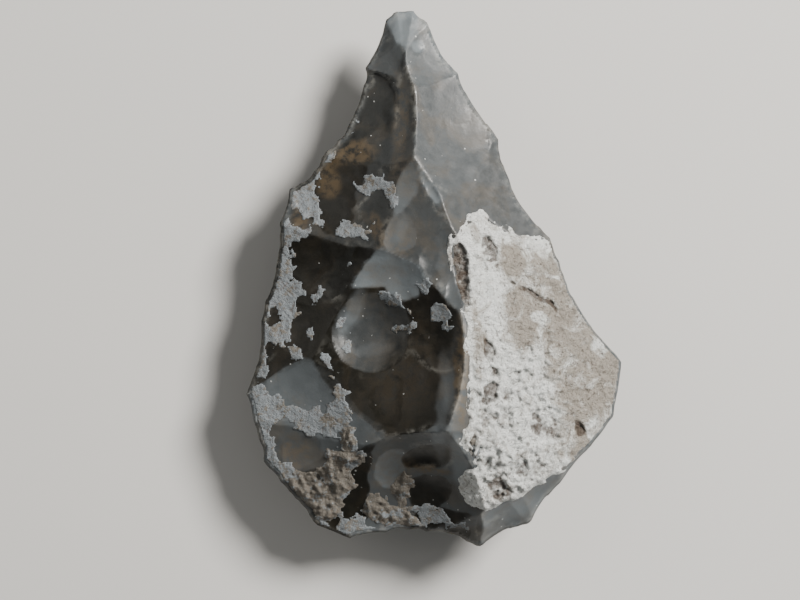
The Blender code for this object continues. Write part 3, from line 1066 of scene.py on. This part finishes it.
def ranged(nodes, source, low, high, to_low=0.0, to_high=1.0):
    """A value stretched from one range to another, and held inside it."""
    return add_node(
        nodes, "ShaderNodeMapRange", {"interpolation_type": "SMOOTHSTEP"},
        {"From Min": low, "From Max": high, "To Min": to_low, "To Max": to_high},
        {"Value": source},
    ).outputs["Result"]


def worked(nodes, operation, one, two):
    """Sum, product or the like of two values, each a socket or a number."""
    node = add_node(nodes, "ShaderNodeMath", {"operation": operation})
    for at, value in enumerate((one, two)):
        if isinstance(value, (int, float)):
            node.inputs[at].default_value = value
        else:
            node.id_data.links.new(value, node.inputs[at])
    return node.outputs["Value"]


def blended(nodes, share, under, over):
    """Mix of two colours, each a socket or a scene colour."""
    node = add_node(nodes, "ShaderNodeMix", {"data_type": "RGBA"})
    node.id_data.links.new(share, node.inputs["Factor"])
    for at, value in ((6, under), (7, over)):
        if isinstance(value, bpy.types.NodeSocket):
            node.id_data.links.new(value, node.inputs[at])
        else:
            node.inputs[at].default_value = (*value, 1.0)
    return node.outputs[2]


def bump(nodes, height, distance, strength=1.0, under=None):
    """Fine relief of that depth in millimetres."""
    links = {"Height": height}
    if under is not None:
        links["Normal"] = under
    return add_node(
        nodes, "ShaderNodeBump", values={"Distance": distance * MM, "Strength": strength},
        links=links,
    ).outputs["Normal"]


def flint_material(colours):
    """Knapped flint: glassy, slightly cloudy stone split along its bowls.

    The eye gets a waxy gloss, deep smoky places, milky patina and iron stain.
    """
    material, nodes, shader = new_material("Knapped flint")
    links = material.node_tree.links
    place = add_node(nodes, "ShaderNodeTexCoord").outputs["Object"]
    cloud = noise_node(nodes, place, 9.0, detail=5.0, roughness=0.6, distortion=0.6)
    mottle = noise_node(nodes, place, 2.2, detail=5.0, roughness=0.62)
    speck = noise_node(nodes, place, 0.9, detail=3.0, roughness=0.5)
    tone = field_node(nodes, "tone")
    swing = worked(nodes, "SUBTRACT", worked(nodes, "ADD", cloud, mottle), 1.0)
    tone = worked(nodes, "ADD", tone, worked(nodes, "MULTIPLY", swing, 0.11))
    base = blended(nodes, ranged(nodes, tone, 0.0, 0.5), colours.smoky, colours.grey)
    base = blended(nodes, ranged(nodes, tone, 0.45, 1.0), base, colours.pale)
    dark = ranged(nodes, tone, 0.0, 0.4, 0.08, 0.3)
    warm = worked(nodes, "MULTIPLY", ranged(nodes, cloud, 0.46, 0.66), dark)
    stain = worked(nodes, "MULTIPLY", field_node(nodes, "ochre"), ranged(nodes, mottle, 0.3, 0.62))
    stain = worked(nodes, "MAXIMUM", stain, warm)
    base = blended(nodes, worked(nodes, "MULTIPLY", stain, 0.75), base, colours.ochre)
    # Pale line along the ridges and the thin edge: partly real bruising, partly a painted highlight
    wear_and_highlight = worked(nodes, "MULTIPLY", field_node(nodes, "ridge"), ranged(nodes, mottle, 0.4, 0.6))
    base = blended(nodes, worked(nodes, "MULTIPLY", wear_and_highlight, 0.3), base, colours.ridge)
    dots = add_node(
        nodes, "ShaderNodeTexVoronoi", {"feature": "F1"}, {"Scale": per_mm(2.6)}, {"Vector": place}
    ).outputs["Distance"]
    dots = worked(nodes, "MULTIPLY", ranged(nodes, dots, 0.13, 0.07), ranged(nodes, speck, 0.55, 0.62))
    base = blended(nodes, worked(nodes, "MULTIPLY", dots, 0.4), base, colours.chalk)
    links.new(base, shader.inputs["Base Color"])
    links.new(ranged(nodes, mottle, 0.3, 0.75, 0.3, 0.5), shader.inputs["Roughness"])
    shader.inputs["IOR"].default_value = 1.54
    shader.inputs["Specular IOR Level"].default_value = 0.26
    shader.inputs["Subsurface Weight"].default_value = 0.1
    shader.inputs["Subsurface Radius"].default_value = (1.0, 0.9, 0.75)
    shader.inputs["Subsurface Scale"].default_value = 2.0 * MM
    broad = bump(nodes, mottle, 0.12, strength=0.5)
    skin = bump(nodes, speck, 0.05, strength=0.5, under=broad)
    links.new(skin, shader.inputs["Normal"])
    return material


def cortex_material(colours):
    """Chalky cortex: the porous white rind of the nodule, weathered rough and pitted.

    The eye gets a dry, matt, crumbly white that turns tan and smoother to the right.
    """
    material, nodes, shader = new_material("Chalky cortex")
    links = material.node_tree.links
    place = add_node(nodes, "ShaderNodeTexCoord").outputs["Object"]
    cloud = noise_node(nodes, place, 6.0, detail=9.0, roughness=0.72, distortion=0.8)
    crumb = noise_node(nodes, place, 1.4, detail=8.0, roughness=0.72)
    pores = noise_node(nodes, place, 0.9, detail=3.0, roughness=0.6)
    stir = worked(nodes, "MULTIPLY", worked(nodes, "SUBTRACT", cloud, 0.48), 3.6)
    tan = worked(nodes, "ADD", field_node(nodes, "tan"), stir)
    base = blended(nodes, ranged(nodes, tan, 0.0, 0.9), colours.chalk, colours.tan)
    # Towards the pit colour in hollows, low crumbs and pores: painted shade, with some dirt
    low = worked(nodes, "ADD", field_node(nodes, "low"), worked(nodes, "SUBTRACT", crumb, 0.5))
    base = blended(nodes, ranged(nodes, low, 0.45, 1.15, 0.0, 0.9), base, colours.pit_shade_and_dirt)
    base = blended(nodes, ranged(nodes, pores, 0.44, 0.33, 0.0, 0.55), base, colours.pit_shade_and_dirt)
    links.new(base, shader.inputs["Base Color"])
    shader.inputs["Roughness"].default_value = 0.93
    shader.inputs["Specular IOR Level"].default_value = 0.25
    fine = bump(nodes, noise_node(nodes, place, 0.7), 0.5)
    skin = bump(nodes, crumb, 1.3, under=fine)
    links.new(skin, shader.inputs["Normal"])
    return material


def crust_material(name, main, second, dark, size, depth):
    """Mineral crust: a dull, grainy film or lump grown on the flint.

    The eye gets a matt patch of mixed grains against the gloss of the stone.
    """
    material, nodes, shader = new_material(name)
    links = material.node_tree.links
    place = add_node(nodes, "ShaderNodeTexCoord").outputs["Object"]
    cloud = noise_node(nodes, place, size * 3, detail=5.0, roughness=0.7)
    crumb = noise_node(nodes, place, size, detail=5.0, roughness=0.7)
    mixed = worked(nodes, "ADD", cloud, worked(nodes, "MULTIPLY", crumb, 0.6))
    share = ranged(nodes, mixed, SECOND_GRAIN_FROM, SECOND_GRAIN_FROM + 0.1)
    base = blended(nodes, share, main, second)
    # Dark grains where the bump's grain lies low: painted shade in the hollows of the grain, with dark
    # grit
    base = blended(nodes, ranged(nodes, crumb, 0.46, 0.34, 0.0, 0.6), base, dark)
    links.new(base, shader.inputs["Base Color"])
    shader.inputs["Roughness"].default_value = 0.88
    shader.inputs["Specular IOR Level"].default_value = 0.3
    links.new(bump(nodes, crumb, depth, strength=0.8), shader.inputs["Normal"])
    return material


def finish_piece(thing, material):
    """Give a piece its material and its place in the frame."""
    thing.data.materials.append(material)
    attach(thing, "root")


def softened(values):
    """Values blended with their neighbours on the grid, so no border has teeth."""
    for axis in (0, 1):
        values = (np.roll(values, 1, axis) + 2.0 * values + np.roll(values, -1, axis)) / 4.0
    return values


def place_in_frame(stone):
    """Shift from the middle of the edge to the frame, in millimetres."""
    corners = np.array([spot(name) for name in EDGE_CORNERS])
    sides = np.roll(corners, -1, axis=0) - corners
    places = np.concatenate([corners + sides * step / SIDE_STEPS for step in range(SIDE_STEPS)])
    x, y = slide_to_zero(
        stone.thickness, places[:, 0], places[:, 1], FARTHEST_SLIDE, SLIDE_STEPS
    )
    middle = (np.array(LOW) + np.array(HIGH)) / 2 / MM
    return np.array((
        middle[0] - (x.min() + x.max()) / 2,
        middle[1] - (y.min() + y.max()) / 2,
        LOW[2] / MM + EDGE_HEIGHT,
    ))


def flint_fields(stone, x, y, side, owner, gap, thickness, cell):
    """Tone, iron stain and ridge line of one face, each from 0 to 1. The ridge line is wear with a
    painted highlight; the upper tone holds the painted sheen on the shell, and both tones hold the
    painted glow of the thin edge.
    """
    if side > 0:
        marked = (owner >= 0) & (owner < len(stone.tones))
        tone = np.where(marked, stone.tones[np.where(marked, owner, 0)], BARE_TONE)
        tone = tone + patches(x, y, TONE_PATCHES, 3)
        ochre = patches(x, y, OCHRE_PATCHES, 5)
    else:
        tone = UNDER_TONE + layer(x, y, "under_tone")
        ochre = smooth(0.1, 0.6, layer(x, y, "under_stain")) * 0.8
    thin = 1.0 - smooth(*MARGIN, thickness)
    # Painted glow: the thin flint along the edge is made paler, as if light shone through it
    tone = tone + MARGIN_GLOW * thin
    gap = np.minimum(gap, WIDEST_GAP)
    slope = np.hypot(*np.gradient(gap, cell))
    away = gap / np.maximum(slope, 0.05)
    # Ridge line: partly real wear, partly a painted highlight along the ridge
    ridge = (1.0 - smooth(*RIDGE_BAND, away)) * smooth(*RIDGE_OPENING, slope)
    ridge = np.maximum(ridge, thin * MARGIN_WEAR)
    return softened(np.clip(tone, 0.0, 1.1)), np.clip(ochre, 0.0, 1.0), softened(ridge)


class HANDAXE_OT_flint(bpy.types.Operator):
    """Build the knapped flint body with all of its scars"""

    bl_idname = "handaxe.flint"
    bl_label = "Flint body"

    def execute(self, context):
        sizes, colours = context.scene.hand_axe_sizes, context.scene.hand_axe_colours
        stone = current_stone(sizes)
        x, y = plan_grid(sizes.body_cell)
        thickness = stone.thickness(x, y)
        cells = trimmed(np.logical_and.reduce(corner_cells(thickness > THINNEST_EDGE)))
        rim = rim_of(cells)[1]
        ridges = stone.face(x, y, 1)[2]
        near = ~rim & (ridges < RIDGE_GAP) & (thickness > RIDGE_FLINT)
        most = sizes.body_cell * RIDGE_SLIDE
        x[near], y[near] = slide_to_zero(
            lambda u, v: stone.face(u, v, 1)[2], x[near], y[near], most, 2
        )
        most = sizes.body_cell * RIM_SLIDE
        x[rim], y[rim] = slide_to_zero(stone.thickness, x[rim], y[rim], most)
        top, top_owner, top_gap = stone.face(x, y, 1)
        bottom, bottom_owner, bottom_gap = stone.face(x, y, -1)
        thickness = top - bottom
        over = flint_fields(stone, x, y, 1, top_owner, top_gap, thickness, sizes.body_cell)
        below = flint_fields(stone, x, y, -1, bottom_owner, bottom_gap, thickness, sizes.body_cell)
        fields = dict(zip(("tone", "ochre", "ridge"), zip(over, below)))
        under = smooth(*DIP_BAND, inside_border(x, y, CORTEX_BORDER))
        top = top - np.minimum(CORTEX_BED * under, thickness * DIP_SHARE)
        body = closed_sheet("flint_body", stone.shift, x, y, cells, top, bottom, fields)
        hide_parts("hand_axe")
        finish_piece(body, flint_material(colours))
        return {"FINISHED"}


def skin_sheet(name, stone, cell, height_of, dive, fields_of=None):
    """A closed skin on the upper face: it dives below the flint where its height is negative."""
    x, y = plan_grid(cell)
    height = height_of(x, y)
    wanted = height > -dive
    rows, columns = (np.flatnonzero(wanted.any(axis)) for axis in (1, 0))
    window = slice(rows[0], rows[-1] + 1), slice(columns[0], columns[-1] + 1)
    x, y, height, wanted = x[window], y[window], height[window], wanted[window]
    surface, base = stone.face(x, y, 1)[0], stone.face(x, y, -1)[0]
    carried = wanted & (surface - base > THINNEST_BED)
    cells = trimmed(np.logical_and.reduce(corner_cells(carried)))
    found = fields_of(x, y) if fields_of else {}
    fields = {word: (value, value) for word, value in found.items()}
    under = surface - np.minimum(dive + SKIN_ROOT, (surface - base) * SKIN_SHARE)
    return closed_sheet(name, stone.shift, x, y, cells, surface + height, under, fields)


class HANDAXE_OT_cortex(bpy.types.Operator):
    """Lay the chalky cortex over the right of the upper face"""

    bl_idname = "handaxe.cortex"
    bl_label = "Cortex"

    def execute(self, context):
        sizes, colours = context.scene.hand_axe_sizes, context.scene.hand_axe_colours
        stone = current_stone(sizes)

        def relief(x, y):
            rough = np.clip(CORTEX_ROUGHNESS + patches(x, y, CORTEX_ROUGH, 8), 0.4, 1.3)
            crags = 1.0 - np.abs(layer(x, y, "cortex_crags"))
            swell = layer(x, y, "cortex_swell") + CRAG_SHARE * crags + layer(x, y, "cortex_crumb")
            ragged = 0.8 + layer(x, y, "hollow_border")
            hollows = np.clip(patches(x, y, CORTEX_HOLLOWS, 6) * ragged, 0.0, 1.3)
            return rough * (swell - CORTEX_LEVEL), hollows

        def height_of(x, y):
            inside = inside_border(x, y, CORTEX_BORDER) + layer(x, y, "cortex_border")
            swell, hollows = relief(x, y)
            proud = np.minimum(inside * 1.2, 1.0) * sizes.cortex_proud
            rise = np.where(inside > 0.0, proud, inside)
            deep = np.maximum(swell - HOLLOW_DEPTH * hollows, -CORTEX_DEEPEST)
            return np.maximum(rise, -1.5) + deep * smooth(0.0, 1.0, inside)

        def fields_of(x, y):
            swell, hollows = relief(x, y)
            tan = np.clip(patches(x, y, CORTEX_TAN, 8), 0.0, 1.0)
            # low rises in the hollows and where the relief lies low, and paints shade there, with some
            # dirt
            return {"tan": tan, "low": np.clip(0.2 - swell * 0.5 + hollows * 0.7, 0.0, 1.0)}

        skin = skin_sheet("cortex", stone, sizes.skin_cell, height_of, CORTEX_DIVE, fields_of)
        finish_piece(skin, cortex_material(colours))
        return {"FINISHED"}


class HANDAXE_OT_crusts(bpy.types.Operator):
    """Lay the lime crust and the concretion lumps on the flint"""

    bl_idname = "handaxe.crusts"
    bl_label = "Lime crust and concretions"

    def execute(self, context):
        sizes, colours = context.scene.hand_axe_sizes, context.scene.hand_axe_colours
        stone = current_stone(sizes)

        def lime_height(x, y):
            beside = 1.0 - inside_streaks(x, y, CONCRETION_STREAKS)
            inside = np.minimum(inside_crust(x, y, LIME_STREAKS) - 0.2, beside)
            inside = inside + layer(x, y, "lime_border") + layer(x, y, "lime_fringe")
            grit = layer(x, y, "lime_grit") * (inside > 0)
            return np.clip(inside * 0.5, -0.4, sizes.lime_proud) + grit

        def lump_height(x, y):
            inside = inside_crust(x, y, CONCRETION_STREAKS)
            inside = inside + layer(x, y, "lump_border") + layer(x, y, "lump_fringe")
            lumps = 0.6 + layer(x, y, "lump_swell") + layer(x, y, "lump_crumb")
            lumps = np.where(inside > 0, np.maximum(lumps, 0.1), 1.0)
            return np.clip(inside * 0.6, -0.5, 1.0) * lumps

        lime = skin_sheet("lime_crust", stone, sizes.skin_cell, lime_height, LIME_DIVE)
        finish_piece(lime, crust_material(
            "Lime crust", colours.lime, colours.lump, colours.pit_shade_and_dirt, size=1.3, depth=1.1
        ))
        lump = skin_sheet("concretion", stone, sizes.skin_cell, lump_height, LUMP_DIVE)
        finish_piece(lump, crust_material(
            "Concretion", colours.lump, colours.lime, colours.pit_shade_and_dirt, size=1.1, depth=1.2
        ))
        return {"FINISHED"}


class HANDAXE_OT_stage(bpy.types.Operator):
    """Add the pale floor, the soft lights and the camera above the stone"""

    bl_idname = "handaxe.stage"
    bl_label = "Floor, light and camera"

    def execute(self, context):
        colours = context.scene.hand_axe_colours
        bpy.ops.mesh.primitive_plane_add(size=FLOOR_SIZE)
        floor = context.object
        floor.name = "floor"
        material, nodes, shader = new_material("Matt painted board")
        place = add_node(nodes, "ShaderNodeTexCoord").outputs["Object"]
        shade = ranged(nodes, noise_node(nodes, place, 60.0), 0.3, 0.7, 0.0, 0.06)
        board = blended(nodes, shade, colours.floor, [0.9 * part for part in colours.floor])
        material.node_tree.links.new(board, shader.inputs["Base Color"])
        shader.inputs["Roughness"].default_value = 0.9
        floor.data.materials.append(material)
        world = bpy.data.worlds.new("Soft sky")
        context.scene.world = world
        world.use_nodes = True
        sky = world.node_tree.nodes["Background"]
        sky.inputs["Color"].default_value = (*linear("#e6e5e2"), 1.0)
        sky.inputs["Strength"].default_value = SKY_STRENGTH
        for name, (place, size, power, code) in LAMPS.items():
            lamp = bpy.data.lights.new(name, "AREA")
            lamp.shape, lamp.size, lamp.energy = "DISK", size, power
            lamp.color = linear(code)
            holder = bpy.data.objects.new(name, lamp)
            context.scene.collection.objects.link(holder)
            holder.location = place
            aim = -holder.location
            holder.rotation_euler = aim.to_track_quat("-Z", "Y").to_euler()
        lens = bpy.data.cameras.new("Camera above")
        lens.sensor_width = 36.0
        lens.lens = lens.sensor_width * CAMERA_AWAY / PICTURE_WIDTH
        camera = bpy.data.objects.new("Camera above", lens)
        context.scene.collection.objects.link(camera)
        camera.location = (*CAMERA_OVER, CAMERA_AWAY + EDGE_HEIGHT * MM)
        context.scene.camera = camera
        return {"FINISHED"}


class HANDAXE_PT_panel(bpy.types.Panel):
    """Sizes, colours and steps of the hand axe"""

    bl_label = "Hand axe"
    bl_idname = "HANDAXE_PT_panel"
    bl_space_type = "VIEW_3D"
    bl_region_type = "UI"
    bl_category = "Hand axe"

    def draw(self, context):
        for group in (context.scene.hand_axe_sizes, context.scene.hand_axe_colours):
            for word in group.__annotations__:
                self.layout.prop(group, word)
        for step in STEPS:
            self.layout.operator(step.bl_idname)


STEPS = (HANDAXE_OT_flint, HANDAXE_OT_cortex, HANDAXE_OT_crusts, HANDAXE_OT_stage)
CLASSES = (HandAxeSizes, HandAxeColours, *STEPS, HANDAXE_PT_panel)


def register():
    for made in CLASSES:
        bpy.utils.register_class(made)
    bpy.types.Scene.hand_axe_sizes = PointerProperty(type=HandAxeSizes)
    bpy.types.Scene.hand_axe_colours = PointerProperty(type=HandAxeColours)


def unregister():
    del bpy.types.Scene.hand_axe_colours
    del bpy.types.Scene.hand_axe_sizes
    for made in reversed(CLASSES):
        bpy.utils.unregister_class(made)


def main():
    register()
    bpy.ops.handaxe.flint()
    bpy.ops.handaxe.cortex()
    bpy.ops.handaxe.crusts()
    bpy.ops.handaxe.stage()
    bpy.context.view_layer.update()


if __name__ == "__main__":
    main()
